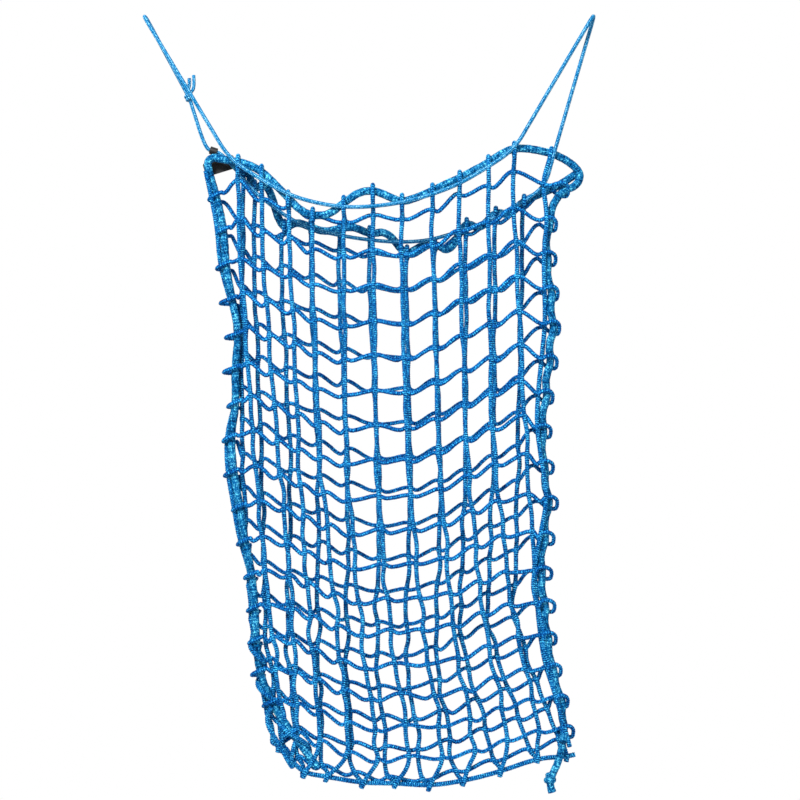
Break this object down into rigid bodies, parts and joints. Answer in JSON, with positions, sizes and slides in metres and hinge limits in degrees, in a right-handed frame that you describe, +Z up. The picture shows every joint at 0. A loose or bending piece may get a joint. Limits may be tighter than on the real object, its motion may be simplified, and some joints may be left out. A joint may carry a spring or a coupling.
{
  "type": "hay net",
  "caption": "Open-mouthed tubular hay net of knotless square mesh, edged with thick rope and hung wide between two hooks on one looped draw cord.",
  "frame": {"origin": "the seat of the left hook, under the left bight of the draw cord", "axes": "+Z up, +X to the right hook, +Y to the back"},
  "size_m": [0.6341, 0.079, 1.0922],
  "materials": {
    "down_twine": "braided polyethylene twine, soft sheen",
    "cross_twine": "braided polyethylene twine, soft sheen",
    "rope": "thick soft braided rope",
    "cord": "smooth close-braided cord",
    "tag": "moulded, matt"
  },
  "bodies": {
    "net": {"border_rope": "rope", "back_mouth_rope": "rope", "front_down_twine_01": "down_twine", "front_down_twine_02": "down_twine", "front_down_twine_03": "down_twine", "front_down_twine_04": "down_twine", "front_down_twine_05": "down_twine", "front_down_twine_06": "down_twine", "front_down_twine_07": "down_twine", "front_down_twine_08": "down_twine", "front_down_twine_09": "down_twine", "front_down_twine_10": "down_twine", "front_down_twine_11": "down_twine", "back_down_twine_01": "down_twine", "back_down_twine_02": "down_twine", "back_down_twine_03": "down_twine", "back_down_twine_04": "down_twine", "back_down_twine_05": "down_twine", "back_down_twine_06": "down_twine", "back_down_twine_07": "down_twine", "back_down_twine_08": "down_twine", "back_down_twine_09": "down_twine", "back_down_twine_10": "down_twine", "back_down_twine_11": "down_twine", "left_side_twine": "down_twine", "right_side_twine": "down_twine", "cross_twine_01": "cross_twine", "cross_twine_02": "cross_twine", "cross_twine_03": "cross_twine", "cross_twine_04": "cross_twine", "cross_twine_05": "cross_twine", "cross_twine_06": "cross_twine", "cross_twine_07": "cross_twine", "cross_twine_08": "cross_twine", "cross_twine_09": "cross_twine", "cross_twine_10": "cross_twine", "cross_twine_11": "cross_twine", "cross_twine_12": "cross_twine", "cross_twine_13": "cross_twine", "cross_twine_14": "cross_twine", "cross_twine_15": "cross_twine", "cross_twine_16": "cross_twine", "cross_twine_17": "cross_twine", "foot_twine": "down_twine", "draw_cord": "cord", "draw_cord_knot": "cord"},
    "tag": {"tag": "tag"},
    "rope_tail": {"rope_tail": "rope", "tail_knot": "rope"}
  },
  "joints": [
    {"name": "tag_swing", "type": "hinge", "parent": "net", "child": "tag", "pos_m": [0.0924, 0.009, -0.1827], "axis": [0.9511, 0, -0.309], "range_deg": [0, 80]},
    {"name": "tail_swing", "type": "hinge", "parent": "net", "child": "rope_tail", "pos_m": [0.57992, -0.01651, -1.01391], "axis": [-1, 0, 0], "range_deg": [0, 50]}
  ]
}
